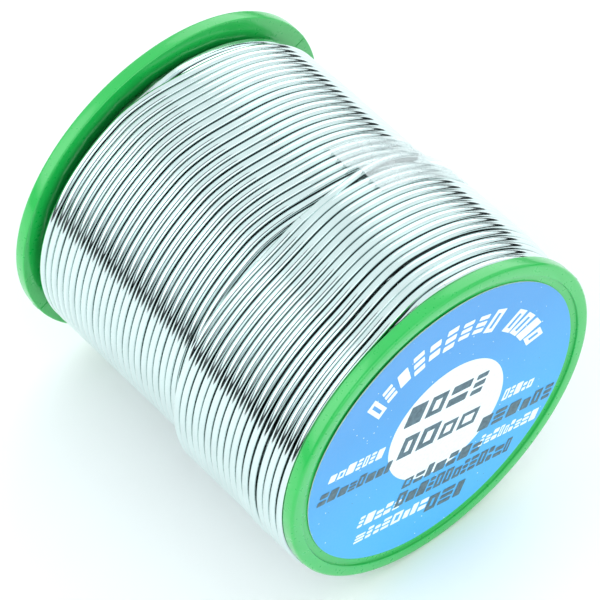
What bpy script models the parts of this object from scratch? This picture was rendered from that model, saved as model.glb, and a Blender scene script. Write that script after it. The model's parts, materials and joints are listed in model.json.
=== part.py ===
"""Solder wire spool, lying on its side: a moulded reel, its label and the wound wire.

Metres, +Z up. The reel's axis runs along Y at the height of the flange radius, the
labelled end faces -Y, and the rims of both flanges stand on z = 0.
"""
import bmesh
import bpy
from math import cos, pi, radians, sin, sqrt

# ---- Reel ------------------------------------------------------------------------
FLANGE_R = 0.026        # outer radius of both flanges
FLANGE_T = 0.0019       # full thickness at the rim
REEL_W = 0.0576         # outer face to outer face
RIM_EDGE = 0.0006       # chamfer on the rim's outer edge
RIM_BACK_EDGE = 0.0002  # smaller chamfer on the edge beside the wire
RECESS_R = 0.0241       # round recess in each outer face
RECESS = 0.0007         # its depth
CORE_R = 0.01025        # outer radius of the core barrel
CORE_WALL = 0.00105
BORE_R = 0.0080         # hole through both flanges, for a spindle
SPIGOT_WALL = 0.0009    # collar of each flange that enters the barrel
SPIGOT_L = 0.0040

# ---- Label -----------------------------------------------------------------------
LABEL_R = 0.0230
LABEL_T = 0.00015

# ---- Winding ---------------------------------------------------------------------
WIRE_D = 0.0012
PITCH = 0.00126                           # one turn to the next
LAYER_RISE = sqrt(WIRE_D ** 2 - (PITCH / 2) ** 2)   # turns lie in the grooves below
TURNS = 42                                # in a full layer
FULL_LAYERS = 14
OUTER_TURNS = 17                          # in the last, part-wound layer
FREE_END_TURN = 18                        # the free end lies where this turn would start
GROOVE = 0.00035                          # depth of the groove between two turns

# ---- Tape over the wire's end ----------------------------------------------------
TAPE_T = 0.00008
TAPE_CLEAR = 0.0001
TAPE_Y = (0.0195, 0.0302)                 # edges, from the labelled face
TAPE_SPAN = (4, 10)                       # facet corners it covers, up from +X

# ---- Making ----------------------------------------------------------------------
GAP = 0.0003            # clearance between pieces that touch
SIDES = 48              # flats round each turned piece, one of them at the bottom
HIDDEN_SIDES = 24       # the same on the buried layers
WIRE_SIDES = 8

FRONT = -REEL_W / 2
WIND_START = FRONT + FLANGE_T + GAP


def clear_scene():
    for thing in list(bpy.data.objects):
        bpy.data.objects.remove(thing, do_unlink=True)


def material(name, colour, roughness, metallic=0.0, alpha=1.0):
    mat = bpy.data.materials.new(name)
    mat.use_nodes = True
    bsdf = mat.node_tree.nodes["Principled BSDF"]
    bsdf.inputs["Base Color"].default_value = (*colour, 1.0)
    bsdf.inputs["Roughness"].default_value = roughness
    bsdf.inputs["Metallic"].default_value = metallic
    bsdf.inputs["Alpha"].default_value = alpha
    return mat


def add_object(name, mesh, mat, axis):
    mesh.shade_smooth()
    mesh.set_sharp_from_angle(angle=radians(20))
    mesh.materials.append(mat)
    thing = bpy.data.objects.new(name, mesh)
    bpy.context.collection.objects.link(thing)
    thing.parent = axis
    return thing


def corner(y, radius, step, sides):
    """A point on the corner line number `step` of a turned piece, counted from the
    flat at the bottom towards +X. The flats, not the corners, lie at `radius`."""
    angle = 2 * pi * (step + 0.5) / sides
    reach = radius / cos(pi / sides)
    return (reach * sin(angle), y, -reach * cos(angle))


def turned(name, profile, mat, axis, sides=SIDES, span=None):
    """Spin a closed (y, radius) outline about the reel's axis, all the way round or
    over the corner lines in `span`."""
    first, last = span or (0, sides)
    bm = bmesh.new()
    verts = [bm.verts.new(corner(y, r, first, sides)) for y, r in profile]
    edges = [bm.edges.new(pair) for pair in zip(verts, verts[1:] + verts[:1])]
    geom = verts + edges
    if span:
        geom.append(bm.faces.new(verts))
    bmesh.ops.spin(bm, geom=geom, cent=(0, 0, 0), axis=(0, -1, 0), dvec=(0, 0, 0),
                   angle=2 * pi * (last - first) / sides, steps=last - first,
                   use_merge=span is None, use_duplicate=False)
    bmesh.ops.recalc_face_normals(bm, faces=bm.faces)
    mesh = bpy.data.meshes.new(name)
    bm.to_mesh(mesh)
    bm.free()
    return add_object(name, mesh, mat, axis)


def disc(name, radius, low, high, mat, axis):
    """A round sheet between y = low and y = high."""
    bm = bmesh.new()
    face = bm.faces.new([bm.verts.new(corner(low, radius, step, SIDES))
                         for step in range(SIDES)])
    raised = bmesh.ops.extrude_face_region(bm, geom=[face])["geom"]
    top = [v for v in raised if isinstance(v, bmesh.types.BMVert)]
    bmesh.ops.translate(bm, verts=top, vec=(0, high - low, 0))
    bmesh.ops.recalc_face_normals(bm, faces=bm.faces)
    mesh = bpy.data.meshes.new(name)
    bm.to_mesh(mesh)
    bm.free()
    return add_object(name, mesh, mat, axis)


def flange_profile(outward):
    """Outline of a flange whose outer face looks along `outward` (-1 or 1) in Y."""
    face = outward * REEL_W / 2

    def at(depth, radius):
        return (face - outward * depth, radius)

    spigot_r = BORE_R + SPIGOT_WALL
    return [
        at(RECESS, BORE_R),
        at(RECESS, RECESS_R),
        at(0, RECESS_R),
        at(0, FLANGE_R - RIM_EDGE),
        at(RIM_EDGE * 0.3, FLANGE_R - RIM_EDGE * 0.3),
        at(RIM_EDGE, FLANGE_R),
        at(FLANGE_T - RIM_BACK_EDGE, FLANGE_R),
        at(FLANGE_T, FLANGE_R - RIM_BACK_EDGE),
        at(FLANGE_T, spigot_r),
        at(FLANGE_T + SPIGOT_L, spigot_r),
        at(FLANGE_T + SPIGOT_L, BORE_R),
    ]


def core_profile():
    end = REEL_W / 2 - FLANGE_T - GAP
    inner = CORE_R - CORE_WALL
    return [(-end, inner), (end, inner), (end, CORE_R), (-end, CORE_R)]


def layer_centre(layer):
    """Radius of the wire's centre line in layer 1, 2, 3 ..."""
    return CORE_R + WIRE_D / 2 + (layer - 1) * LAYER_RISE


def turn_start(turn):
    return WIND_START + turn * PITCH


def sleeve_profile(layer):
    """A buried layer, as a plain sleeve that leaves GAP to the next one."""
    inner = layer_centre(layer) - WIRE_D / 2 + GAP
    outer = inner + LAYER_RISE - GAP
    end = turn_start(TURNS)
    return [(WIND_START, inner), (end, inner), (end, outer), (WIND_START, outer)]


def ribs(first, last, crest):
    """Outline points of turns first .. last - 1, one crest each."""
    points = [(turn_start(first), crest - GROOVE)]
    for turn in range(first, last):
        points.append((turn_start(turn) + PITCH / 2, crest))
        points.append((turn_start(turn + 1), crest - GROOVE))
    return points


def last_full_layer_profile():
    """The exposed half is ribbed; the other half is low enough to pass under the
    part-wound layer and the wire's free end."""
    centre = layer_centre(FULL_LAYERS)
    inner = centre - WIRE_D / 2 + GAP
    low = layer_centre(FULL_LAYERS + 1) - WIRE_D / 2 - GAP
    bare = turn_start(FREE_END_TURN + 1)
    return ([(WIND_START, inner), (WIND_START, low), (bare - GAP, low)]
            + ribs(FREE_END_TURN + 1, TURNS, centre + WIRE_D / 2)
            + [(turn_start(TURNS), inner)])


def outer_layer_profile():
    centre = layer_centre(FULL_LAYERS + 1)
    inner = centre - WIRE_D / 2
    return ([(WIND_START, inner)]
            + ribs(0, OUTER_TURNS, centre + WIRE_D / 2)
            + [(turn_start(OUTER_TURNS), inner)])


def tape_profile():
    """The strip lies on the outer layer, then steps down to the layer below."""
    high = layer_centre(FULL_LAYERS + 1) + WIRE_D / 2 + TAPE_CLEAR
    low = layer_centre(FULL_LAYERS) + WIRE_D / 2 + TAPE_CLEAR
    step = turn_start(FREE_END_TURN + 1)
    line = [(FRONT + TAPE_Y[0], high), (step - PITCH / 4, high),
            (step + PITCH, low), (FRONT + TAPE_Y[1], low)]
    return line + [(y, r + TAPE_T) for y, r in reversed(line)]


def wire_end(name, mat, axis):
    """The last stretch of wire, beside the last turn and cut off under the tape."""
    radius = layer_centre(FULL_LAYERS + 1)
    curve = bpy.data.curves.new(name, "CURVE")
    curve.dimensions = "3D"
    curve.bevel_depth = WIRE_D / 2
    curve.bevel_resolution = WIRE_SIDES // 2 - 2
    curve.use_fill_caps = True
    steps = range(TAPE_SPAN[0] + 2, TAPE_SPAN[1] + 4)
    spline = curve.splines.new("POLY")
    spline.points.add(len(steps) - 1)
    for point, step in zip(spline.points, steps):
        point.co = (*corner(turn_start(FREE_END_TURN), radius, step + SIDES // 4, SIDES), 1.0)
    curve.materials.append(mat)
    thing = bpy.data.objects.new(name, curve)
    bpy.context.collection.objects.link(thing)
    thing.parent = axis
    return thing


def main():
    clear_scene()
    axis = bpy.data.objects.new("reel_axis", None)
    axis.location = (0, 0, FLANGE_R)
    bpy.context.collection.objects.link(axis)

    plastic = material("green_plastic", (0.06, 0.55, 0.16), 0.35)
    core_plastic = material("core_plastic", (0.05, 0.48, 0.14), 0.4)
    paper = material("label_paper", (0.12, 0.42, 0.9), 0.5)
    solder = material("solder", (0.82, 0.85, 0.84), 0.22, metallic=1.0)
    clear_tape = material("clear_tape", (0.85, 0.88, 0.86), 0.2, alpha=0.4)

    turned("front_flange", flange_profile(-1), plastic, axis)
    turned("rear_flange", flange_profile(1), plastic, axis)
    turned("core_barrel", core_profile(), core_plastic, axis)

    label_back = FRONT + RECESS - GAP
    disc("front_label", LABEL_R, label_back - LABEL_T, label_back, paper, axis)

    for layer in range(1, FULL_LAYERS):
        turned(f"wire_layer_{layer:02d}", sleeve_profile(layer), solder, axis,
               sides=HIDDEN_SIDES)
    turned(f"wire_layer_{FULL_LAYERS:02d}", last_full_layer_profile(), solder, axis)
    turned(f"wire_layer_{FULL_LAYERS + 1:02d}", outer_layer_profile(), solder, axis)
    wire_end("wire_free_end", solder, axis)
    turned("end_tape", tape_profile(), clear_tape, axis,
           span=tuple(step + SIDES // 4 for step in TAPE_SPAN))


main()
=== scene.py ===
# %% [markdown]
# # A solder wire spool
# This lesson builds the looks of a small plastic reel, wound nearly full with bright
# solder wire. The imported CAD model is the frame: it fixes every size and place, and the
# pieces here are finer versions of its parts.

import json
import random
from math import cos, exp, floor, hypot, pi, radians, sin, sqrt

import bmesh
import bpy
from mathutils import Matrix, Vector
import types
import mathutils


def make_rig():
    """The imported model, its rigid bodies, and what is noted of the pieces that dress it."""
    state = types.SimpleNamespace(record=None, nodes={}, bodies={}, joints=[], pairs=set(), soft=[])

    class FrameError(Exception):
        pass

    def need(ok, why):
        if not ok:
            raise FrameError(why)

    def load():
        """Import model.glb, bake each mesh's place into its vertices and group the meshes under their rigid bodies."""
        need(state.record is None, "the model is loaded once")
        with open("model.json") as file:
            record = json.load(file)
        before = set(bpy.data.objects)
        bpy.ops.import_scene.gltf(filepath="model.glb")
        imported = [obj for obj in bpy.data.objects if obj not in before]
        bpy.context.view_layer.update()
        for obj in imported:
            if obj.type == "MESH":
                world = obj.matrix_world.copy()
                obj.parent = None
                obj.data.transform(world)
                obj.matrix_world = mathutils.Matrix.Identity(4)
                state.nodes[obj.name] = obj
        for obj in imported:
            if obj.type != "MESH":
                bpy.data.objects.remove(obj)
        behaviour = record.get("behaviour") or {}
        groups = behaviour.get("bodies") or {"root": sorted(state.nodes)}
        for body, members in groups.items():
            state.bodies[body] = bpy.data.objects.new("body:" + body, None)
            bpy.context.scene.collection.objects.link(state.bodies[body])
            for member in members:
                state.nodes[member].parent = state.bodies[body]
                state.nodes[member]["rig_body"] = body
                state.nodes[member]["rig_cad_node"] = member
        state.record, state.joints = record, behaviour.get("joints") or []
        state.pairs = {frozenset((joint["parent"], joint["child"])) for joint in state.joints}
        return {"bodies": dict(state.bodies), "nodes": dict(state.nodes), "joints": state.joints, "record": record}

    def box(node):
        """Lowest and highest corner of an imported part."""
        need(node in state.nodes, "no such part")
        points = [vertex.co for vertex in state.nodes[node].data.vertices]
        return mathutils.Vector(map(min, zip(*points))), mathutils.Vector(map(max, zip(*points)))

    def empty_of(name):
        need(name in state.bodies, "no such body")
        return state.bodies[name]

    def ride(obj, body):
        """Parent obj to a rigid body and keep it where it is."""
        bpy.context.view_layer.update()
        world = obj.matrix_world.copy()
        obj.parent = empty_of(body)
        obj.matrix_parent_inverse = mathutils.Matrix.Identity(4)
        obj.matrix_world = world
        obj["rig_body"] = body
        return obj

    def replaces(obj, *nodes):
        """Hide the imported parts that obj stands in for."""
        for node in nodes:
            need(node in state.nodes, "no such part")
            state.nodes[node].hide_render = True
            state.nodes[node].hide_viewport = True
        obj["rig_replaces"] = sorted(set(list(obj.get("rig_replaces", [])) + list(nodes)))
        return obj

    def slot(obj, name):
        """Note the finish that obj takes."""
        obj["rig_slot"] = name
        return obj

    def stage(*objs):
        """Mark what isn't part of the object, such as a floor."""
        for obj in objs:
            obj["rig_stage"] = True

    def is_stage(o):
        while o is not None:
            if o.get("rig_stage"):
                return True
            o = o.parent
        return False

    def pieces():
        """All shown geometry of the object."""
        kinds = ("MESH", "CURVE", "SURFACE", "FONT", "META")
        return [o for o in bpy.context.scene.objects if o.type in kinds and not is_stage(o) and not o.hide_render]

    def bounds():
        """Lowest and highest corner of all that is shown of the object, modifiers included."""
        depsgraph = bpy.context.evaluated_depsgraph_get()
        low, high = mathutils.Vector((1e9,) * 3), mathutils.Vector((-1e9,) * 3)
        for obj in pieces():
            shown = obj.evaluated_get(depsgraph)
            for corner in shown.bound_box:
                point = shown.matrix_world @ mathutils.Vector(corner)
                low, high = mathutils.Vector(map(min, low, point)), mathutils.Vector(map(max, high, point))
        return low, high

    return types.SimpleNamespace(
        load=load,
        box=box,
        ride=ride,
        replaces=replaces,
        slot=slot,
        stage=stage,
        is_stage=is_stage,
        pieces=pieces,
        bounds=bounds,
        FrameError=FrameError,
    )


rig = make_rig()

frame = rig.load()
CAD_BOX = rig.bounds()
print("nodes in the frame:", len(frame["nodes"]))

# %% [markdown]
# ## Sizes
# The reel lies on its side. Its axis runs along Y, at the height of the flange radius,
# and the labelled end faces -Y. Angles are counted in degrees from +X towards +Z, so 90
# is the top. The main sizes are read from the frame, and the fine ones, which a bounding
# box can't tell, are stated in metres.

# %% Sizes
low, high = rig.box("front_flange")
FLANGE_R = (high.z - low.z) / 2
AXIS_Z = low.z + FLANGE_R
FRONT = low.y
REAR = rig.box("rear_flange")[1].y
FLANGE_T = 0.0019
RECESS_R = 0.0241
RECESS = 0.00045
BORE_R = 0.0080
SPIGOT_R = 0.0089
SPIGOT_L = 0.0040

WIRE_D = 0.0012         # space that one wire takes in the winding
WIRE_R = 0.00058        # drawn radius, a little less so that turns don't merge
PITCH = 0.00126
RINGS = 42              # turns in a full layer
OUTER_RINGS = 17        # turns in the part layer
LAYER_RISE = sqrt(WIRE_D ** 2 - (PITCH / 2) ** 2)
INNER_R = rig.box("wire_layer_14")[0].z * -1 + AXIS_Z - WIRE_D / 2 - LAYER_RISE
FIRST_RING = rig.box("wire_layer_15")[0].y + WIRE_D / 2 - 0.0002
print(f"flange radius {FLANGE_R * 1000:.2f} mm, width {(REAR - FRONT) * 1000:.2f} mm, "
      f"layer 13 at {INNER_R * 1000:.2f} mm")

# %% [markdown]
# ## One way to finish every piece
# Each piece is made in a bmesh and ends the same way: a mesh with its place in its own
# vertices, an object at the origin, and a ride on the frame's one body, "root".

# %% Finish a piece
SHARP = radians(35)     # edges with a greater angle are shown as edges


def mesh_object(name, bm, materials):
    mesh = bpy.data.meshes.new(name)
    bm.to_mesh(mesh)
    bm.free()
    for material in materials:
        mesh.materials.append(material)
    thing = bpy.data.objects.new(name, mesh)
    bpy.context.scene.collection.objects.link(thing)
    return thing


def finish_piece(name, bm, materials, slot, stands_for=()):
    piece = mesh_object(name, bm, materials)
    piece.data.set_sharp_from_angle(angle=SHARP)
    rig.ride(piece, "root")
    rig.slot(piece, slot)
    if stands_for:
        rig.replaces(piece, *stands_for)
    print(f"{name}: {len(piece.data.polygons)} faces")


# %% [markdown]
# Three small helpers serve all the round work: a point on the reel from its angle, a
# smooth step, and a smooth hump round an angle. A fourth gives an open sheet its
# thickness: the sheet's copy is moved off, and an extrude makes the walls between.

# %% Round work
def on_reel(angle, y, radius):
    """A point at `angle` degrees round the reel's axis."""
    return Vector((radius * cos(radians(angle)), y, AXIS_Z + radius * sin(radians(angle))))


def ease(x):
    """0 below 0, 1 above 1, and a smooth step between."""
    x = min(1.0, max(0.0, x))
    return x * x * (3 - 2 * x)


def hump(angle, centre, width):
    """A smooth hump of height 1 round `centre` degrees."""
    away = (angle - centre + 180) % 360 - 180
    return exp(-(away / width) ** 2)


def thicken(bm, offset):
    """Make the open sheet in bm a closed one, with its other face `offset` away."""
    grown = bmesh.ops.extrude_face_region(bm, geom=list(bm.faces), use_keep_orig=True)
    moved = [g for g in grown["geom"] if isinstance(g, bmesh.types.BMVert)]
    bmesh.ops.translate(bm, verts=moved, vec=offset)


print("top of the reel:", [round(c, 4) for c in on_reel(90, 0, FLANGE_R)])

# %% [markdown]
# ## Building blocks for the finishes
# Real surfaces are never one flat value. Three effects are wanted by several finishes,
# so each is a node group with named inputs: a slow mottle of tone, a scatter of small
# specks, and long hairlines. A group only puts out masks and values. The shader itself
# stays in each material.

# %% Node helpers
def new_group(name, inputs, output):
    """A shader node group with float inputs, one vector input and one float output."""
    tree = bpy.data.node_groups.new(name, "ShaderNodeTree")
    tree.interface.new_socket("Vector", in_out="INPUT", socket_type="NodeSocketVector")
    for label, value in inputs.items():
        socket = tree.interface.new_socket(label, in_out="INPUT",
                                           socket_type="NodeSocketFloat")
        socket.default_value = value
    tree.interface.new_socket(output, in_out="OUTPUT", socket_type="NodeSocketFloat")
    return tree, tree.nodes.new("NodeGroupInput"), tree.nodes.new("NodeGroupOutput")


def add_math(tree, operation, first, second, clamp=False):
    """A Math node. Each of first and second is a number or an output socket."""
    node = tree.nodes.new("ShaderNodeMath")
    node.operation = operation
    node.use_clamp = clamp
    for socket, value in zip(node.inputs, (first, second)):
        if isinstance(value, (int, float)):
            socket.default_value = value
        else:
            tree.links.new(value, socket)
    return node.outputs[0]


def add_noise(tree, vector, scale, detail=2.0):
    node = tree.nodes.new("ShaderNodeTexNoise")
    node.inputs["Detail"].default_value = detail
    tree.links.new(vector, node.inputs["Vector"])
    if isinstance(scale, (int, float)):
        node.inputs["Scale"].default_value = scale
    else:
        tree.links.new(scale, node.inputs["Scale"])
    return node.outputs["Fac"]


# %% [markdown]
# The mottle is a noise pulled together or apart round its middle. It stands for uneven
# tone and, at a small scale, for grain or the fibres of paper.

# %% Mottle group
mottle, ends, out = new_group("soft_mottle", {"Scale": 200.0, "Contrast": 1.0}, "Tone")
cloud = add_noise(mottle, ends.outputs["Vector"], ends.outputs["Scale"], 3.0)
spread = add_math(mottle, "MULTIPLY", add_math(mottle, "SUBTRACT", cloud, 0.5),
                  ends.outputs["Contrast"])
mottle.links.new(add_math(mottle, "ADD", spread, 0.5, clamp=True), out.inputs["Tone"])
print("group", mottle.name)

# %% [markdown]
# Dust and faults in a print are separate dots. A Voronoi texture gives every cell a
# random colour: its red picks the few cells that get a dot, its green sets the dot's size.

# %% Specks group
specks, ends, out = new_group("small_specks", {"Scale": 900.0, "Amount": 0.1}, "Mask")
cells = specks.nodes.new("ShaderNodeTexVoronoi")
cells.feature = "F1"
specks.links.new(ends.outputs["Vector"], cells.inputs["Vector"])
specks.links.new(ends.outputs["Scale"], cells.inputs["Scale"])
picked = specks.nodes.new("ShaderNodeSeparateColor")
specks.links.new(cells.outputs["Color"], picked.inputs["Color"])
few = add_math(specks, "LESS_THAN", picked.outputs["Red"], ends.outputs["Amount"])
near = add_math(specks, "LESS_THAN", cells.outputs["Distance"],
                add_math(specks, "MULTIPLY", picked.outputs["Green"], 0.32))
specks.links.new(add_math(specks, "MULTIPLY", few, near), out.inputs["Mask"])
print("group", specks.name)

# %% [markdown]
# A noise crosses its middle value along curved lines. Only the values close to the middle
# are kept, which leaves thin lines. A stretched vector draws them out along one way.

# %% Hairlines group
hairlines, ends, out = new_group("hairlines", {"Scale": 300.0, "Amount": 0.5}, "Mask")
fine = add_noise(hairlines, ends.outputs["Vector"], ends.outputs["Scale"], 4.0)
ridge = add_math(hairlines, "ABSOLUTE", add_math(hairlines, "SUBTRACT", fine, 0.5), 0.0)
line = add_math(hairlines, "SUBTRACT", 1.0, add_math(hairlines, "MULTIPLY", ridge, 18.0),
                clamp=True)
hairlines.links.new(add_math(hairlines, "MULTIPLY", line, ends.outputs["Amount"]),
                    out.inputs["Mask"])
print("group", hairlines.name)

# %% [markdown]
# Each finish is one Principled shader that is fed by a handful of masks and blends. A
# small class keeps the node calls out of the way, so a finish reads as a list of layers.

# %% Material helpers
class Finish:
    """A new material with a Principled shader, and short ways to feed it."""

    def __init__(self, name, **plain):
        self.material = bpy.data.materials.new(name)
        self.material.use_nodes = True
        self.tree = self.material.node_tree
        self.shader = self.tree.nodes["Principled BSDF"]
        for label, value in plain.items():
            self.shader.inputs[label.replace("_", " ")].default_value = value
        self.place = self.tree.nodes.new("ShaderNodeTexCoord").outputs["Object"]

    def effect(self, group, vector=None, **values):
        node = self.tree.nodes.new("ShaderNodeGroup")
        node.node_tree = group
        self.tree.links.new(vector or self.place, node.inputs["Vector"])
        for label, value in values.items():
            node.inputs[label].default_value = value
        return node.outputs[0]

    def stretched(self, scale, vector=None):
        node = self.tree.nodes.new("ShaderNodeMapping")
        node.inputs["Scale"].default_value = scale
        self.tree.links.new(vector or self.place, node.inputs["Vector"])
        return node.outputs["Vector"]

    def blend(self, factor, first, second, mode="MIX"):
        """Mix two colours, each a tuple or an output socket."""
        node = self.tree.nodes.new("ShaderNodeMix")
        node.data_type = "RGBA"
        node.blend_type = mode
        for socket, value in ((node.inputs["Factor"], factor), (node.inputs[6], first),
                              (node.inputs[7], second)):
            if isinstance(value, bpy.types.NodeSocket):
                self.tree.links.new(value, socket)
            elif isinstance(value, tuple):
                socket.default_value = (*value, 1.0)
            else:
                socket.default_value = value
        return node.outputs[2]

    def between(self, value, low, high, start=0.0, end=1.0):
        """Map a value from start .. end onto low .. high."""
        node = self.tree.nodes.new("ShaderNodeMapRange")
        node.interpolation_type = "SMOOTHSTEP"
        self.tree.links.new(value, node.inputs["Value"])
        for label, number in (("From Min", start), ("From Max", end), ("To Min", low),
                              ("To Max", high)):
            node.inputs[label].default_value = number
        return node.outputs["Result"]

    def position(self, axis):
        """The place along X, Y or Z on the piece, in metres."""
        node = self.tree.nodes.new("ShaderNodeSeparateXYZ")
        self.tree.links.new(self.place, node.inputs["Vector"])
        return node.outputs[axis]

    def feed(self, label, socket):
        self.tree.links.new(socket, self.shader.inputs[label])

    def bump(self, height, distance, strength=1.0):
        node = self.tree.nodes.new("ShaderNodeBump")
        node.inputs["Distance"].default_value = distance
        node.inputs["Strength"].default_value = strength
        self.tree.links.new(height, node.inputs["Height"])
        self.feed("Normal", node.outputs["Normal"])


print("groups to use:", [tree.name for tree in (mottle, specks, hairlines)])

# %% [markdown]
# ## Moulded green plastic
# The reel is injection moulded in a cheap, glossy, slightly milky green. A fine grain
# from the mould breaks up its shine, and rubbed lines are a little lighter. A bump would
# make the moulding look pitted, so the grain is only in the roughness.

# %% Green plastic
def green_plastic(name, colour, pale):
    finish = Finish(name, Roughness=0.3, Specular_IOR_Level=0.6, Coat_Weight=0.5,
                    Coat_Roughness=0.10)
    tone = finish.effect(mottle, Scale=160.0, Contrast=1.6)
    rubbed = finish.effect(hairlines, vector=finish.stretched((1.0, 0.3, 1.0)),
                           Scale=220.0, Amount=0.35)
    body = finish.blend(tone, tuple(c * 0.9 for c in colour), colour)
    finish.feed("Base Color", finish.blend(finish.between(rubbed, 0.0, 0.25), body, pale))
    grain = finish.effect(mottle, Scale=1500.0, Contrast=1.0)
    finish.feed("Roughness", finish.between(grain, 0.24, 0.36))
    return finish.material


reel_green = green_plastic("reel_green", (0.006, 0.49, 0.070), (0.03, 0.58, 0.13))
core_green = green_plastic("core_green", (0.008, 0.42, 0.070), (0.04, 0.52, 0.15))
print("plastic:", reel_green.name, core_green.name)

# %% [markdown]
# ## Bright solder wire
# Tin alloy wire is drawn through a die, which leaves it almost like a mirror, with very
# fine lines along its length. The sides that touch other turns are painted dark, a painted
# shade for the grooves between the turns. The painted shade is darkest high on the reel,
# paler lower down and paler towards +X. Each
# wire carries a UV map that runs along it, for the draw lines, and a "crest" value, 1 on
# the side that faces away from the reel.

# %% Solder
def solder(name, bright, shade):
    finish = Finish(name, Metallic=1.0, Roughness=0.15)
    along = finish.tree.nodes.new("ShaderNodeUVMap")
    along.uv_map = "along_wire"
    lines = finish.effect(hairlines, vector=finish.stretched((4.0, 30.0, 1.0),
                          along.outputs["UV"]), Scale=6.0, Amount=1.0)
    crest = finish.tree.nodes.new("ShaderNodeAttribute")
    crest.attribute_name = "crest"
    # where the crest value is low, on the sides towards the turns beside, the colour is a painted shade for the
    # grooves
    open_side = finish.between(crest.outputs["Fac"], 0.0, 1.0, 0.05, 0.62)
    tone = finish.effect(mottle, Scale=260.0, Contrast=1.6)
    clean = finish.blend(tone, tuple(c * 0.90 for c in bright), bright)
    clean = finish.blend(finish.between(lines, 0.0, 0.10), clean, shade)
    # the painted groove shade is darkest high on the reel, paler lower down and paler towards +X
    upper = finish.between(finish.position("Z"), 0.0, 1.0, 0.031, 0.039)
    painted_shade_by_x = finish.between(finish.position("X"), 0.0, 0.75, -0.004, 0.010)
    groove = finish.blend(upper, tuple(c * 0.45 for c in bright), shade)
    groove = finish.blend(painted_shade_by_x, groove, tuple(c * 0.34 for c in bright))
    finish.feed("Base Color", finish.blend(open_side, groove, clean))
    finish.feed("Roughness", finish.between(tone, 0.08, 0.15))
    return finish.material


bright_solder = solder("bright_solder", (0.79, 0.90, 0.89), (0.012, 0.026, 0.026))
print("wire:", bright_solder.name)

# %% [markdown]
# The layers far below are only smooth sleeves. Nobody sees them unless the reel is taken
# apart, so a striped finish at the pitch of the turns tells what they are. Its dark
# stripes are a painted shade for the grooves between the turns.

# %% Buried layers
def buried_solder():
    finish = Finish("buried_solder", Metallic=1.0, Roughness=0.3)
    bands = finish.tree.nodes.new("ShaderNodeTexWave")
    bands.bands_direction = "Y"
    bands.inputs["Scale"].default_value = 2 * pi / (20 * PITCH)
    finish.tree.links.new(finish.place, bands.inputs["Vector"])
    tone = finish.effect(mottle, Scale=300.0, Contrast=1.2)
    tin = finish.blend(tone, (0.55, 0.60, 0.60), (0.72, 0.77, 0.77))
    # the dark stripes are a painted shade for the grooves between the turns
    finish.feed("Base Color", finish.blend(finish.between(bands.outputs["Fac"], 0.0, 1.0,
                                                          0.0, 0.5), (0.06, 0.08, 0.08), tin))
    finish.feed("Roughness", finish.between(tone, 0.22, 0.4))
    finish.bump(bands.outputs["Fac"], 0.0003, 0.8)
    return finish.material


BURIED_LAYERS = 12
buried = buried_solder()
for number in range(1, BURIED_LAYERS + 1):
    frame["nodes"][f"wire_layer_{number:02d}"].data.materials[0] = buried
frame["nodes"]["core_barrel"].data.materials[0] = core_green
print("sleeves that keep their CAD shape:", BURIED_LAYERS)

# %% [markdown]
# ## The reel's flanges
# Each flange is a disc with a raised round rim, a shallow recess inside it and a hole for
# a spindle. A lathe-like part is quickest to make by spinning half of its section. The
# sharp section is spun first, and then only the edges that a finger would feel are
# rounded with a bevel, so the section stays easy to read.

# %% Spin and round
def spun(outline, steps):
    """A bmesh of a closed (y, radius) outline spun once round the reel's axis."""
    bm = bmesh.new()
    verts = [bm.verts.new(on_reel(0, y, r)) for y, r in outline]
    edges = [bm.edges.new(pair) for pair in zip(verts, verts[1:] + verts[:1])]
    bmesh.ops.spin(bm, geom=verts + edges, cent=(0, 0, AXIS_Z), axis=(0, 1, 0),
                   dvec=(0, 0, 0), angle=2 * pi, steps=steps, use_merge=True,
                   use_duplicate=False)
    bmesh.ops.recalc_face_normals(bm, faces=bm.faces)
    return bm


def round_rim(bm, y, radius, size, segments):
    """Bevel the circular edge at that y and radius."""
    def there(v):
        return (abs(v.co.y - y) < 1e-6
                and abs(hypot(v.co.x, v.co.z - AXIS_Z) - radius) < 1e-6)
    ring = [e for e in bm.edges if all(there(v) for v in e.verts)]
    bmesh.ops.bevel(bm, geom=ring, offset=size, segments=segments, profile=0.5,
                    affect="EDGES", material=-1)


bm = spun([(0, 0.01), (0, 0.02), (0.01, 0.02), (0.01, 0.01)], steps=8)
print("a plain ring spun in 8 steps has", len(bm.faces), "faces")
bm.free()

# %% [markdown]
# The mould opens in two halves, and where they meet a hair of plastic squeezes out. It
# shows as a thin line across the rim at two opposite places. The line is a flat bar that
# is turned into place and left standing a few hundredths of a millimetre proud. Pins push
# the moulding out of its half, and each leaves a low round mark on the recess floor.

# %% Flanges
FLASH_ANGLES = (24, 204)
FLASH_W = 0.00014
FLASH_PROUD = 0.00005
PIN_ANGLES = (45, 135, 225, 315)
PIN_AT = 0.0165                  # radius of the circle that the pins stand on
PIN_R = 0.0016
PIN_PROUD = 0.00008
OUTER_ROUND = 0.00048            # the rounding that a hand feels first
INNER_ROUND = 0.00020            # on the rim's edge beside the wire


def add_bar(bm, angle, y, radius, size):
    """A small box centred at (y, radius), then turned to its angle."""
    turn = Matrix.Rotation(-radians(angle), 4, "Y")
    place = Matrix.Translation((0, 0, AXIS_Z)) @ turn @ Matrix.Translation((radius, y, 0))
    bmesh.ops.create_cube(bm, size=1.0, matrix=place @ Matrix.Diagonal((*size, 1.0)))


def add_pin_marks(bm, face, inward):
    """Shallow round marks where pins push the moulding out."""
    for angle in PIN_ANGLES:
        spot = on_reel(angle, face + inward * RECESS, PIN_AT)
        turn = Matrix.Rotation(pi / 2, 4, "X")
        bmesh.ops.create_cone(bm, cap_ends=True, segments=32, radius1=PIN_R, radius2=PIN_R,
                              depth=2 * PIN_PROUD, matrix=Matrix.Translation(spot) @ turn)


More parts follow.
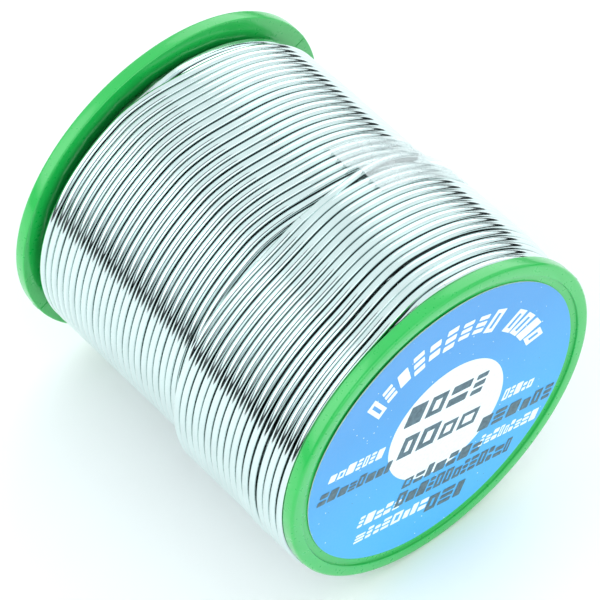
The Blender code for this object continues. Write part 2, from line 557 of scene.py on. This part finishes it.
def flange(name, face, inward, node):
    """`inward` is 1 if the reel's middle lies towards +Y, -1 if towards -Y."""
    back = face + inward * FLANGE_T
    floor_y = face + inward * RECESS
    tip = back + inward * SPIGOT_L
    bm = spun([(floor_y, BORE_R), (floor_y, RECESS_R), (face, RECESS_R),
               (face, FLANGE_R), (back, FLANGE_R), (back, SPIGOT_R), (tip, SPIGOT_R),
               (tip, BORE_R)], steps=192)
    round_rim(bm, face, FLANGE_R, OUTER_ROUND, 5)
    round_rim(bm, back, FLANGE_R, INNER_ROUND, 3)
    round_rim(bm, face, RECESS_R, 0.00014, 3)
    round_rim(bm, floor_y, RECESS_R, 0.00018, 3)
    round_rim(bm, floor_y, BORE_R, 0.00025, 2)
    for angle in FLASH_ANGLES:
        add_bar(bm, angle, face + inward * FLANGE_T * 0.54, FLANGE_R - 0.0002,
                (0.0004 + 2 * FLASH_PROUD, FLANGE_T * 0.64, FLASH_W))
        add_bar(bm, angle, back, 0.0222, (0.0072, 2 * FLASH_PROUD, FLASH_W))
    add_pin_marks(bm, face, inward)
    for f in bm.faces:
        f.smooth = abs(f.normal.y) < 0.999
    finish_piece(name, bm, [reel_green], "reel_plastic", [node])


flange("front_flange_moulding", FRONT, 1, "front_flange")
flange("rear_flange_moulding", REAR, -1, "rear_flange")

# %% [markdown]
# ## How the wire lies
# A reel like this is wound in close rings. For most of a turn the wire runs straight
# round, in the groove between two turns below. In one short zone it steps over by one
# pitch, and there it has to climb over the wire below. Odd layers step towards the rear
# as the wire is laid on, even layers towards the front, so the steps cross.
#
# `rings_laid` counts the rings along the wire, from its place in degrees, which falls as
# the wire is laid on. The step zone is at the top of the reel.

# %% Winding rules
STEP_FROM, STEP_TO = 118, 86      # degrees, in the order that the wire passes them
FRONT_START = 446                 # layers begin here at the front flange
REAR_START = -90                  # and here, at the underside, at the rear flange


def rings_laid(angle):
    passed = (STEP_FROM - angle) / 360
    whole = floor(passed)
    return whole + ease((passed - whole) * 360 / (STEP_FROM - STEP_TO))


def climb(offset):
    """Rise over the layer below, for a wire `offset` pitches from a ring there."""
    near = abs((offset + 0.5) % 1 - 0.5) * PITCH
    return sqrt(WIRE_D ** 2 - near ** 2)


def rising(angle, y, radius, flange_y, over):
    """The last step of a layer, for a wire at (y, radius). It slides up to the flange and
    rises beside the turn of the next layer that steps away above it, at `over`."""
    share = rings_laid(angle) - (RINGS - 1)
    if share <= 0:
        return y, radius
    y += (flange_y - y) * ease(2 * share)
    reach = WIRE_D ** 2 - (over[0] - y) ** 2
    return y, max(radius, over[1] - sqrt(max(0.0, reach)))


def wander(angle, size, seed):
    """A small drift from the true place, never the same on two turns."""
    turn = radians(angle)
    return size * (0.5 * sin(0.37 * turn + seed) + 0.3 * sin(1.13 * turn + 2.1 * seed)
                   + 0.2 * sin(2.71 * turn + 0.7 * seed))


def smoothed(values, reach):
    """Each value becomes the mean of its neighbours: a wire can't follow sharp steps."""
    result = []
    for i in range(len(values)):
        part = values[max(0, i - reach):i + reach + 1]
        result.append(sum(part) / len(part))
    return result


print(f"a turn climbs by up to {(WIRE_D - LAYER_RISE) * 1000:.2f} mm to cross the wire below")

# %% [markdown]
# A wound layer is far too long and regular for an operator, so its tube is made by a
# loop: a ring of points at each place along the wire, joined to the ring before.

# %% Tube along a path
def wire_tube(path, sides):
    """A closed tube along (angle, y, radius) places."""
    bm = bmesh.new()
    uv = bm.loops.layers.uv.new("along_wire")
    crest = bm.verts.layers.float.new("crest")
    spots = [on_reel(*place) for place in path]
    corners = [2 * pi * (i + 0.5) / sides for i in range(sides)]
    before, length = None, 0.0
    for i, spot in enumerate(spots):
        ahead = spots[min(i + 1, len(spots) - 1)] - spots[max(i - 1, 0)]
        outward = on_reel(path[i][0], 0, 1) - on_reel(0, 0, 0)
        side = ahead.cross(outward).normalized()
        outward = side.cross(ahead).normalized()
        ring = []
        for corner in corners:
            v = bm.verts.new(spot + WIRE_R * (cos(corner) * outward + sin(corner) * side))
            v[crest] = cos(corner)
            ring.append(v)
        if before:
            next_length = length + (spot - spots[i - 1]).length
            for k in range(sides):
                m = (k + 1) % sides
                f = bm.faces.new((before[k], before[m], ring[m], ring[k]))
                f.smooth = True
                for loop, u, n in zip(f.loops, (length, length, next_length, next_length),
                                      (k, k + 1, k + 1, k)):
                    loop[uv].uv = (u, n / sides)
            length = next_length
        else:
            bm.faces.new(ring)
        before = ring
    bm.faces.new(before)
    bmesh.ops.recalc_face_normals(bm, faces=bm.faces)
    return bm, length


def places(first, last, per_turn):
    """Angles from first down to last, in even steps."""
    count = round((first - last) / 360 * per_turn)
    return [first + (last - first) * i / count for i in range(count + 1)]


bm, length = wire_tube([(angle, 0, 0.01) for angle in places(360, 0, 90)], 8)
print(f"one test turn at a radius of 10 mm: {length * 1000:.1f} mm of wire")
bm.free()

# %% [markdown]
# ## Where each layer lies
# Three functions give a wire's place from its angle. The last full layer climbs up at the
# rear flange, out of the last ring of the layer below, and lies in the grooves of that
# layer all the way back to the front.
# The part layer was laid on by a less careful hand, or has worked loose in use: it stands
# a little apart near the flange, bulges at one side and sinks in at the other. A seeded
# draw sets the gaps.

# %% Places of the outer layers
BULGE_AT, SUNK_AT, SLACK_AT = 204, 12, 60      # degrees round the reel

random.seed(15)
gaps = [1 + random.uniform(-0.03, 0.03) + (random.uniform(0.0, 0.16) if ring < 7 else 0)
        for ring in range(OUTER_RINGS + 2)]
OUTER_SPAN = PITCH * (OUTER_RINGS - 1)
shrink = OUTER_SPAN / (PITCH * sum(gaps[:OUTER_RINGS - 1]))
ring_y = [FIRST_RING + PITCH * shrink * sum(gaps[:ring]) for ring in range(len(gaps))]
ONE_LAYER = 360 * (RINGS - 1)      # from a layer's last step to the next layer's first


def outer_place(angle):
    laid = rings_laid(angle)
    ring = max(0, min(len(ring_y) - 2, floor(laid)))
    y = ring_y[ring] + (ring_y[ring + 1] - ring_y[ring]) * (laid - ring)
    fan = 0.045 * hump(angle, 175, 50) - 0.035 * hump(angle, 100, 40)
    loose = 1 - ease((laid - 3) / 5)
    y += (y - FIRST_RING) * fan + wander(angle, 0.00004 + 0.00010 * loose, 3.0)
    below = (y - FIRST_RING) / PITCH - 0.5 + rings_laid(angle % 360)
    bulge = (0.00035 + 0.00025 * loose) * hump(angle, BULGE_AT, 42)
    bulge += loose * (0.00006 + wander(angle, 0.00006, 5.0))
    bulge -= 0.0007 * (1 - ease(laid / 4.5)) * hump(angle, SUNK_AT, 45)
    base = INNER_R + LAYER_RISE + 0.0001 * hump(angle, 102, 22)
    return max(y, FIRST_RING), base + climb(below) + bulge


def slack(angle, ring):
    """0 to 1: the last rings hang loose at the upper side, forward of the rear flange."""
    return hump(angle, SLACK_AT, 58) * max(0.0, 1 - (RINGS - 1 - ring) / 9)


def layer_14_place(angle):
    laid = min(rings_laid(angle), RINGS - 1)
    ring = RINGS - 1 - laid
    y = FIRST_RING + PITCH * (ring + 0.5) + wander(angle, 0.00005, 2.0)
    y -= 0.0008 * slack(angle, ring)
    radius = INNER_R + climb(0.5 + ring - laid) - 0.0004 * slack(angle, ring)
    return rising(angle, y, radius, FIRST_RING, outer_place(angle + ONE_LAYER))


def layer_13_place(angle):
    ring = rings_laid(angle)
    y = FIRST_RING + PITCH * ring + wander(angle, 0.00003, 1.0)
    return y - 0.0003 * slack(angle, ring), INNER_R - 0.0001 * slack(angle, ring)


def path_of(place, first, last, per_turn, reach, follows=None):
    """The (angle, y, radius) places of a wire, with its rises smoothed. Its last stretch
    eases over to the first place of the path that follows."""
    angles = places(first, last, per_turn)
    spots = [place(a) for a in angles]
    radii = smoothed([r for _, r in spots], reach)
    path = [(a, y, r) for a, (y, _), r in zip(angles, spots, radii)]
    if follows:
        for i, (a, y, r) in enumerate(path):
            share = ease(1 - (a - last) / 22)
            path[i] = (a, y + (follows[0][1] - y) * share, r + (follows[0][2] - r) * share)
    return path


print(f"the part layer spans {(ring_y[OUTER_RINGS - 1] - ring_y[0]) * 1000:.1f} mm")

# %% [markdown]
# The three outer layers are drawn turn by turn. Layer 13 can hardly be seen, so it has
# fewer sides and points. Each layer ends where the next one begins.

# %% Outer layers
END_ANGLE = 101.25 - 360 * (OUTER_RINGS - 1)
path_15 = path_of(outer_place, FRONT_START, END_ANGLE, 180, 6)
path_14 = path_of(layer_14_place, REAR_START, FRONT_START - 360 * RINGS, 150, 3, path_15)
path_13 = path_of(layer_13_place, FRONT_START, REAR_START - 360 * (RINGS - 2), 96, 1,
                  path_14)
for number, path, sides in ((13, path_13, 6), (14, path_14, 12), (15, path_15, 16)):
    bm, length = wire_tube(path, sides)
    finish_piece(f"wire_layer_{number}_turns", bm, [bright_solder], "solder_wire",
                 [f"wire_layer_{number}"])
    print(f"layer {number} holds {length:.2f} m of wire")

# %% [markdown]
# ## The free end
# The wire's last stretch leaves its groove, sweeps towards the rear and is cut off under
# the tape. The cut shows what solder wire hides: a thin core of flux. The end face is
# inset and pushed in to make its hollow, and a plug of resin fills it.

# %% Free end
SWEEP = 52.5                     # degrees from the last turn to the cut
SWEEP_STEPS = 26
CORE_HOLE_R = 0.00022
CORE_HOLE = 0.0004               # its depth


def end_path():
    last_y, last_r = path_15[-1][1:]
    goal = ring_y[OUTER_RINGS - 1] + 1.75 * PITCH
    result = []
    for i in range(SWEEP_STEPS + 1):
        share = i / SWEEP_STEPS
        angle = END_ANGLE - 0.02 - SWEEP * share
        y = last_y + (goal - last_y) * ease(share * 1.1)
        result.append((angle, y, last_r - 0.00012 * ease(share)))
    return result


path = end_path()
bm, length = wire_tube(path, 16)
cut_spot = on_reel(*path[-1])
bm.faces.ensure_lookup_table()
cut = min((f for f in bm.faces if len(f.verts) == 16),
          key=lambda f: (f.calc_center_median() - cut_spot).length)
bmesh.ops.inset_region(bm, faces=[cut], thickness=WIRE_R - CORE_HOLE_R, use_even_offset=True)
moved = bmesh.ops.extrude_face_region(bm, geom=[cut])["geom"]
cut_way = (on_reel(*path[-1]) - on_reel(*path[-2])).normalized()
bmesh.ops.translate(bm, verts=[g for g in moved if isinstance(g, bmesh.types.BMVert)],
                    vec=-CORE_HOLE * cut_way)
bmesh.ops.delete(bm, geom=[cut], context="FACES_ONLY")
bmesh.ops.recalc_face_normals(bm, faces=bm.faces)
finish_piece("wire_free_end_cut", bm, [bright_solder], "solder_wire", ["wire_free_end"])
print(f"free end: {length * 1000:.1f} mm")

# %% [markdown]
# The flux is a brown, cloudy resin. A short cylinder, turned along the wire, plugs the
# hollow and stops a little short of the cut.

# %% Flux core
resin = Finish("flux_resin", Roughness=0.25, Specular_IOR_Level=0.5)
clouds = resin.effect(mottle, Scale=3000.0, Contrast=2.0)
resin.feed("Base Color", resin.blend(clouds, (0.50, 0.26, 0.05), (0.72, 0.45, 0.14)))
resin.bump(clouds, 0.00002, 0.4)
bm = bmesh.new()
facing = cut_way.to_track_quat("Z", "Y").to_matrix().to_4x4()
bmesh.ops.create_cone(bm, cap_ends=True, segments=16, radius1=CORE_HOLE_R * 0.96,
                      radius2=CORE_HOLE_R * 0.96, depth=0.0003,
                      matrix=Matrix.Translation(cut_spot - 0.00022 * cut_way) @ facing)
finish_piece("flux_core", bm, [resin.material], "solder_wire")

# %% [markdown]
# ## The label
# A round paper label closes the bore and shows inside the front rim. Paper is never quite
# flat: it waves a little, and one side of the edge has come unstuck. The disc is a spun
# radius with many rings, so that the paper can be bent by moving its points, and only then
# does it get the thickness of paper. Its cut edge and its back are bare white.

# %% Paper shape
LABEL_R = 0.0230
LABEL_T = 0.00015
LABEL_FACE = FRONT + 0.00028
LABEL_TURN = radians(-14)        # it was stuck on a little askew
LIFTED_AT = 122                  # degrees, the side of the edge that stands off


def paper_y(x, z):
    """How far out the paper's face lies at a place on the label."""
    reach = hypot(x, z)
    around = angle_at(x, z)
    lift = 0.00020 * ease((reach - 0.0185) / 0.005) * hump(around, LIFTED_AT, 45)
    wave = 0.000018 * sin(x * 410 + 1.0) * sin(z * 350 + 0.4)
    return LABEL_FACE - lift - wave


def angle_at(x, z):
    return Vector((1.0, 0.0)).angle_signed(Vector((x, -z)), 0.0) * 180 / pi


print(f"paper stands off by {(paper_y(0, 0) - paper_y(-0.0124, 0.0198)) * 1000:.2f} mm")

# %% [markdown]
# The blue is printed, so it has what print has: an uneven tone, the fibres of the paper
# under it, and pin-prick faults. The blue is also painted darker towards the top, a painted
# shade. The paper's back and its cut edge only have fibres.

# %% Paper finish
def label_blue():
    finish = Finish("label_blue", Roughness=0.45, Coat_Weight=0.1, Coat_Roughness=0.3)
    tone = finish.effect(mottle, Scale=90.0, Contrast=1.6)
    fibres = finish.effect(mottle, Scale=2600.0, Contrast=1.4)
    white_specks = finish.effect(specks, Scale=1700.0, Amount=0.05)
    dark_specks = finish.effect(specks, vector=finish.stretched((1.3, 1.3, 1.3)),
                                Scale=1500.0, Amount=0.012)
    # painted shade: the blue is painted darker towards the top of the label
    upper = finish.between(finish.position("Z"), 0.0, 1.0, 0.004, 0.048)
    ink = finish.blend(upper, (0.052, 0.43, 0.86), (0.065, 0.285, 0.67))
    ink = finish.blend(finish.between(tone, 0.0, 0.14), ink, (0.11, 0.50, 0.92))
    ink = finish.blend(finish.between(fibres, 0.0, 0.08), ink, (0.14, 0.52, 0.92))
    ink = finish.blend(white_specks, ink, (0.75, 0.88, 1.0))
    finish.feed("Base Color", finish.blend(dark_specks, ink, (0.05, 0.12, 0.22)))
    finish.feed("Roughness", finish.between(fibres, 0.34, 0.5))
    finish.bump(fibres, 0.000015, 0.4)
    return finish.material


def bare_paper():
    finish = Finish("bare_paper", Roughness=0.8)
    fibres = finish.effect(mottle, Scale=1800.0, Contrast=2.0)
    finish.feed("Base Color", finish.blend(fibres, (0.78, 0.80, 0.79), (0.90, 0.91, 0.90)))
    finish.bump(fibres, 0.00002, 0.5)
    return finish.material


blue, paper = label_blue(), bare_paper()
print("label finishes:", blue.name, paper.name)

# %% [markdown]
# Two discs are wanted, the paper and a printed one, so the spin is a function. The paper
# is bent first and thickened afterwards, and then each face gets the ink or the bare
# paper by the way it points.

# %% Label disc
def sheet_disc(centre, axis, radius, rings, steps):
    """A bmesh of a flat disc, round `axis`, whose faces lie in rings."""
    bm = bmesh.new()
    line = [bm.verts.new((centre[0] + radius * i / rings, *centre[1:]))
            for i in range(rings + 1)]
    edges = [bm.edges.new(pair) for pair in zip(line, line[1:])]
    bmesh.ops.spin(bm, geom=line + edges, cent=centre, axis=axis, dvec=(0, 0, 0),
                   angle=2 * pi, steps=steps, use_merge=True, use_duplicate=False)
    bmesh.ops.remove_doubles(bm, verts=bm.verts, dist=1e-6)
    return bm


bm = sheet_disc((0, 0, AXIS_Z), (0, 1, 0), LABEL_R, 26, 144)
bmesh.ops.recalc_face_normals(bm, faces=bm.faces)
front_facing = next(iter(bm.faces)).normal.y < 0
if not front_facing:
    bmesh.ops.reverse_faces(bm, faces=bm.faces)
for v in bm.verts:
    v.co.y = paper_y(v.co.x, v.co.z - AXIS_Z)
for f in bm.faces:
    f.smooth = True
thicken(bm, (0, LABEL_T, 0))
bmesh.ops.recalc_face_normals(bm, faces=bm.faces)
for f in bm.faces:
    f.material_index = 0 if f.normal.y < -0.7 else 1
finish_piece("label_disc", bm, [blue, paper], "label_paper", ["front_label"])

# %% [markdown]
# ## The print
# What a label says isn't part of a reusable model, so its print is dummy text: a white
# disc, and rows of slanted marks as big and as bold as the lines they stand for. Each
# mark starts as one square of a grid. Some are left solid, some get a hole by an inset,
# and some become two or three short bars. All marks of one ink are laid out flat, get
# rounded corners and a film's thickness, and are then wrapped onto the bent paper.

# %% Ink marks
SLANT = 0.2
FILM = 0.000012                  # thickness of the ink
INK_LIFT = 0.000006              # how far it stands off the paper
MARK_CORNER = 0.00014            # rounding of a mark's corners
MARK_GAP = 0.28                  # between two marks, in widths of a plain mark
KINDS = ("solid", "ring", "double", "triple")     # two or three bars, or else one


def add_mark(bm, place, width, height, kind):
    """One mark, centred at `place`, a 4x4 matrix in the label's own plane."""
    shear = Matrix(((1, SLANT, 0, 0), (0, 1, 0, 0), (0, 0, 1, 0), (0, 0, 0, 1)))
    bars = max(1, KINDS.index(kind))
    bar = height / (bars + 0.5 * (bars - 1))
    for i in range(bars):
        shift = Matrix.Translation((0, (i - (bars - 1) / 2) * 1.5 * bar, 0))
        size = Matrix.Diagonal((width, bar, 1, 1))
        made = bmesh.ops.create_grid(bm, x_segments=1, y_segments=1, size=0.5,
                                     matrix=place @ shear @ shift @ size)
    stroke = min(width * 0.34, height * 0.24)
    if kind == "ring" and width > 2.6 * stroke:
        face = made["verts"][0].link_faces[0]
        bmesh.ops.inset_region(bm, faces=[face], thickness=stroke, use_boundary=True,
                               use_even_offset=True)
        bmesh.ops.delete(bm, geom=[face], context="FACES_ONLY")


def round_marks(bm):
    corners = [v for v in bm.verts if len(v.link_faces) == 1]
    bmesh.ops.bevel(bm, geom=corners, offset=MARK_CORNER, segments=2, profile=0.5,
                    affect="VERTICES", material=-1)
    bmesh.ops.delete(bm, geom=[v for v in bm.verts if not v.link_faces], context="VERTS")


def lay_on_paper(bm):
    """Thicken what is drawn flat, turn it with the label and lay it on the paper."""
    thicken(bm, (0, 0, FILM))
    for v in bm.verts:
        u, w, out = v.co
        x = u * cos(LABEL_TURN) - w * sin(LABEL_TURN)
        z = u * sin(LABEL_TURN) + w * cos(LABEL_TURN)
        v.co = (x, paper_y(x, z) - INK_LIFT - out, AXIS_Z + z)
    bmesh.ops.recalc_face_normals(bm, faces=bm.faces)


def add_row(bm, x, y, width, height, marks):
    """A row of marks from x, in mm, with a random choice of widths and kinds."""
    parts = [random.choice((0.7, 1.0, 1.0, 1.2)) for _ in range(marks)]
    unit = width / (sum(parts) + MARK_GAP * (marks - 1))
    left = x - width / 2
    for part in parts:
        tall = height * random.choice((1.0, 1.0, 0.74))
        place = Matrix.Translation(((left + part * unit / 2) / 1000,
                                    (y - (height - tall) / 2) / 1000, 0))
        add_mark(bm, place, part * unit / 1000, tall / 1000, random.choice(KINDS))
        left += (part + MARK_GAP) * unit


print("kinds of mark:", KINDS)

# %% [markdown]
# Rows are given as centre x, centre y, width, height, all in millimetres from the middle
# of the label, and the number of marks. Words on the arc are given as their first and last
# angle and the number of marks. The white ink is drawn first.

# %% Print on the label
WHITE_ROWS = ((-15.0, -0.4, 9.6, 1.9, 7), (14.6, -1.1, 5.6, 2.0, 5),
              (15.0, -8.7, 10.6, 2.0, 9), (-7.5, -13.2, 7.6, 2.0, 5),
              (-4.6, -16.3, 13.2, 2.0, 8))
DARK_ROWS = ((-14.4, -4.1, 12.8, 2.1, 8), (2.9, -9.3, 14.2, 2.3, 7),
             (15.2, -5.0, 13.4, 2.5, 6), (5.9, -12.6, 21.0, 2.5, 13),
             (5.4, -16.8, 6.6, 2.8, 3))
BOLD_ROWS = ((-0.1, 4.2, 14.0, 3.6, 4), (0.2, -1.7, 14.0, 3.8, 4))
ARC_R = 0.0168
ARC_WORDS = ((137, 53, 9), (46, 13, 4))

random.seed(7)
bm = bmesh.new()
for row in WHITE_ROWS:
    add_row(bm, *row)
for first, last, marks in ARC_WORDS:
    step = (last - first) / marks
    for i in range(marks):
        # the arc is set out from the paper's own upright, so the label's turn is undone
        angle = radians(first + step * (i + 0.5)) - LABEL_TURN
        place = (Matrix.Translation((ARC_R * cos(angle), ARC_R * sin(angle), 0))
                 @ Matrix.Rotation(angle - pi / 2, 4, "Z"))
        add_mark(bm, place, 0.0019, random.choice((0.0038, 0.0029)),
                 random.choice(KINDS))
round_marks(bm)
lay_on_paper(bm)
ink_white = Finish("ink_white", Roughness=0.45)
cover = ink_white.effect(mottle, Scale=2200.0, Contrast=2.0)
ink_white.feed("Base Color", ink_white.blend(cover, (0.80, 0.90, 0.94), (0.93, 0.97, 0.98)))
finish_piece("label_white_marks", bm, [ink_white.material], "label_paper")

# %% [markdown]
# The white disc sits a little off the label's middle, as a hurried print run leaves it.
# It has rings of faces like the paper, so that it can follow the paper's waves.

# %% White disc
DISC_R = 0.0101
DISC_OFF = 0.0009
bm = sheet_disc((0, 0, 0), (0, 0, 1), DISC_R, 12, 96)
bmesh.ops.translate(bm, verts=bm.verts, vec=(DISC_OFF, 0, 0))
lay_on_paper(bm)
finish_piece("label_white_disc", bm, [ink_white.material], "label_paper")

# %% [markdown]
# The dark ink goes over the white, so its marks stand a little further out.

# %% Dark print
OVER_WHITE = 0.00002
random.seed(11)
bm = bmesh.new()
for row in DARK_ROWS + BOLD_ROWS:
    add_row(bm, *row)
round_marks(bm)
lay_on_paper(bm)
bmesh.ops.translate(bm, verts=bm.verts, vec=(0, -OVER_WHITE, 0))
ink_dark = Finish("ink_dark", Roughness=0.5)
cover = ink_dark.effect(mottle, Scale=1500.0, Contrast=2.4)
ink_dark.feed("Base Color", ink_dark.blend(cover, (0.055, 0.10, 0.13), (0.11, 0.19, 0.23)))
finish_piece("label_dark_marks", bm, [ink_dark.material], "label_paper")

# %% [markdown]
# ## The tape
# A short clear strip holds the wire's end. It is pulled tight over the crests, dips a
# little between them, and drops from the part layer to the full layer. Its height is the
# highest of shallow curves, one on each wire, so it is made by moving a grid's points.

# %% Tape shape
TAPE_FROM, TAPE_TO = 34, 76      # degrees
TAPE_COLUMNS, TAPE_ROWS = 64, 72
TAPE_T = 0.00006
TAPE_CLEAR = 0.00004             # between the film and the wires' crests
SAG = 240.0                      # per metre, of the shallow curve on each wire
tape_low, tape_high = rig.box("end_tape")
end_line = end_path()


def tape_radius(angle, y):
    crests = []
    for ring in range(RINGS):
        at = FIRST_RING + PITCH * (ring + 0.5 - (rings_laid(angle) % 1))
        crests.append((at, INNER_R + LAYER_RISE))
    here = angle - 360 * (OUTER_RINGS - 1)
    for back in range(8):
        spot_y, spot_r = outer_place(here + 360 * back)
        crests.append((spot_y, spot_r))
    for place in end_line:
        if abs(place[0] - here) < 3:
            crests.append(place[1:])
    top = max(r - SAG * (y - at) ** 2 for at, r in crests)
    pucker = (0.00008 * hump(angle, 44, 5) * sin(y * 3100)
              + 0.00006 * hump(angle, 77, 3) * sin(y * 2300 + 1))
    return top + WIRE_R + TAPE_CLEAR + abs(pucker)


bm = bmesh.new()
bmesh.ops.create_grid(bm, x_segments=TAPE_COLUMNS, y_segments=TAPE_ROWS, size=0.5)
for v in bm.verts:
    across, along = v.co.x + 0.5, v.co.y + 0.5
    ragged = 0.25 * sin(across * 11) if along in (0.0, 1.0) else 0.0
    angle = TAPE_FROM + (TAPE_TO - TAPE_FROM) * along + ragged
    y = tape_low.y + (tape_high.y - tape_low.y) * across
    v.co = on_reel(angle, y, tape_radius(angle, y))
for f in bm.faces:
    f.smooth = True
bmesh.ops.recalc_face_normals(bm, faces=bm.faces)
if sum(f.normal.z for f in bm.faces) < 0:
    bmesh.ops.reverse_faces(bm, faces=bm.faces)
bmesh.ops.solidify(bm, geom=list(bm.faces), thickness=-TAPE_T)
bmesh.ops.recalc_face_normals(bm, faces=bm.faces)
print("tape grid:", len(bm.faces), "faces")

# %% [markdown]
# Clear tape is seen by what it takes away: it lifts the dark of the grooves a little and
# blurs the shine. So the film is mostly transparent, with an uneven haze and a few tiny
# bubbles of trapped air.

# %% Tape finish
film = Finish("clear_film", Roughness=0.16, Alpha=0.3, Specular_IOR_Level=0.5)
haze = film.effect(mottle, Scale=500.0, Contrast=2.0)
bubbles = film.effect(specks, Scale=1400.0, Amount=0.12)
film.feed("Base Color", film.blend(haze, (0.88, 0.95, 0.95), (0.95, 0.99, 0.99)))
film.feed("Alpha", film.between(haze, 0.22, 0.32))
film.feed("Roughness", film.between(haze, 0.12, 0.24))
film.bump(bubbles, 0.00001, 0.4)
finish_piece("tape_strip", bm, [film.material], "clear_tape", ["end_tape"])

# %% [markdown]
# ## Floor and light
# The spool stands on a plain pale floor. The floor is far larger than the view, so no
# edge of it shows.

# %% Floor
FLOOR_HALF = 3.0
floor_finish = Finish("floor_white", Roughness=0.7, Specular_IOR_Level=0.2)
floor_tone = floor_finish.effect(mottle, Scale=6.0, Contrast=0.6)
floor_finish.feed("Base Color", floor_finish.blend(floor_tone, (0.97, 0.98, 0.98),
                                                   (0.99, 0.99, 0.99)))
bm = bmesh.new()
bmesh.ops.create_grid(bm, x_segments=1, y_segments=1, size=FLOOR_HALF)
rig.stage(mesh_object("floor", bm, [floor_finish.material]))
print(f"floor: {2 * FLOOR_HALF:.0f} m square")

# %% [markdown]
# A white sky from all sides is the plainest soft light. It is a touch cool, and the
# Standard view keeps the white of the floor white.

# %% Sky
world = bpy.data.worlds.new("soft_sky")
world.use_nodes = True
world.node_tree.nodes["Background"].inputs["Color"].default_value = (0.90, 0.98, 1.0, 1)
world.node_tree.nodes["Background"].inputs["Strength"].default_value = 1.06
bpy.context.scene.world = world
bpy.context.scene.view_settings.view_transform = "Standard"
print("view:", bpy.context.scene.view_settings.view_transform)

# %% [markdown]
# The camera looks down on the labelled end from its left, a good half metre away with a
# long lens, so the two flanges look almost the same size. It is placed from the middle of
# the labelled end, by its direction and by how far that middle is off the picture's.

# %% Camera
AZIMUTH, ELEVATION = radians(-40.44), radians(52.10)
DISTANCE = 26.0 * FLANGE_R
ASIDE, ABOVE = 0.7200 * FLANGE_R, 0.6222 * FLANGE_R
back = Vector((sin(AZIMUTH) * cos(ELEVATION), -cos(AZIMUTH) * cos(ELEVATION),
               sin(ELEVATION)))
right = Vector((0, 0, 1)).cross(back).normalized()
up = back.cross(right)
eye = Vector((0, FRONT, AXIS_Z)) + back * DISTANCE - right * ASIDE + up * ABOVE
view_frame = Matrix.Translation(eye) @ Matrix((right, up, back)).transposed().to_4x4()
camera = bpy.data.objects.new("camera", bpy.data.cameras.new("camera"))
camera.data.lens = 308.4
camera.data.sensor_width = 36
camera.data.clip_start, camera.data.clip_end = 0.01, 20
camera.matrix_world = view_frame
bpy.context.scene.collection.objects.link(camera)
bpy.context.scene.camera = camera
print(f"camera {DISTANCE * 1000:.0f} mm away")

# %% [markdown]
# A large soft light at each side and a lower one in front give the rims and the wires
# their broad white highlights.

# %% Soft lights
def soft_light(name, direction, distance, size, power):
    lamp = bpy.data.lights.new(name, "AREA")
    lamp.shape = "RECTANGLE"
    lamp.size, lamp.size_y = size
    lamp.energy = power
    lamp.color = (0.95, 0.99, 1.0)
    way = Vector(direction).normalized()
    thing = bpy.data.objects.new(name, lamp)
    thing.rotation_mode = "QUATERNION"
    thing.rotation_quaternion = way.to_track_quat("Z", "Y")
    thing.location = Vector((0, 0, AXIS_Z)) + way * distance
    bpy.context.scene.collection.objects.link(thing)


soft_light("soft_left", (-0.80, 0.35, 0.48), 0.75, (0.55, 0.7), 1.8)
soft_light("soft_right", (0.80, 0.35, 0.48), 0.75, (0.55, 0.7), 1.6)
soft_light("soft_front", (-0.1, -0.95, 0.30), 0.8, (0.8, 0.4), 1.2)
print("lights:", len(bpy.data.lights))

# %% [markdown]
# Bright metal shows its surroundings more than itself, and polished wire in an all-white
# room would have no shape. So a few dark cards stand round it, seen by reflections only:
# a low ring draws the band along the sides, an upright hoop the thin line along each
# wire, and a disc behind the camera stands for the camera itself.

# %% Dark cards
def reflect_only(bm, name, colour):
    """A card that only reflections see."""
    finish = Finish(name, Roughness=1.0, Specular_IOR_Level=0.0,
                    Base_Color=(*colour, 1.0))
    card = mesh_object(name, bm, [finish.material])
    card.visible_camera = card.visible_diffuse = card.visible_shadow = False
    card.visible_transmission = False
    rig.stage(card)
    print("card:", name)


NEAR_BLACK, DARK_GREY = (0.004, 0.006, 0.006), (0.02, 0.028, 0.028)
HOOP_R, HOOP_DEPTH = 0.35, 0.12
hoop_at = Vector((0, -0.165, AXIS_Z))

bm = bmesh.new()
bmesh.ops.create_cone(bm, cap_ends=False, segments=64, radius1=0.2, radius2=0.2,
                      depth=0.032, matrix=Matrix.Translation((0, 0, 0.017)))
reflect_only(bm, "card_round_table", NEAR_BLACK)
bm = bmesh.new()
ends = [bm.verts.new(hoop_at + Vector((-HOOP_R, side * HOOP_DEPTH / 2, 0)))
        for side in (-1, 1)]
bmesh.ops.spin(bm, geom=ends + [bm.edges.new(ends)], cent=hoop_at, axis=(0, 1, 0),
               dvec=(0, 0, 0), angle=radians(88), steps=48, use_duplicate=False)
reflect_only(bm, "card_hoop", DARK_GREY)
bm = bmesh.new()
bmesh.ops.create_circle(bm, cap_ends=True, segments=48, radius=0.10,
                        matrix=view_frame @ Matrix.Translation((0, 0, 0.02)))
reflect_only(bm, "card_round_lens", NEAR_BLACK)

# %% [markdown]
# ## Last
# The visual model has to keep to the CAD model's box. Both boxes, the CAD model's and
# the visual model's, are written down, so that they can be compared.

# %% Sizes and finish
with open("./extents.json", "w") as f:
    json.dump({"cad": [list(v) for v in CAD_BOX],
               "visual": [list(v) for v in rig.bounds()]}, f)
print(open("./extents.json").read())
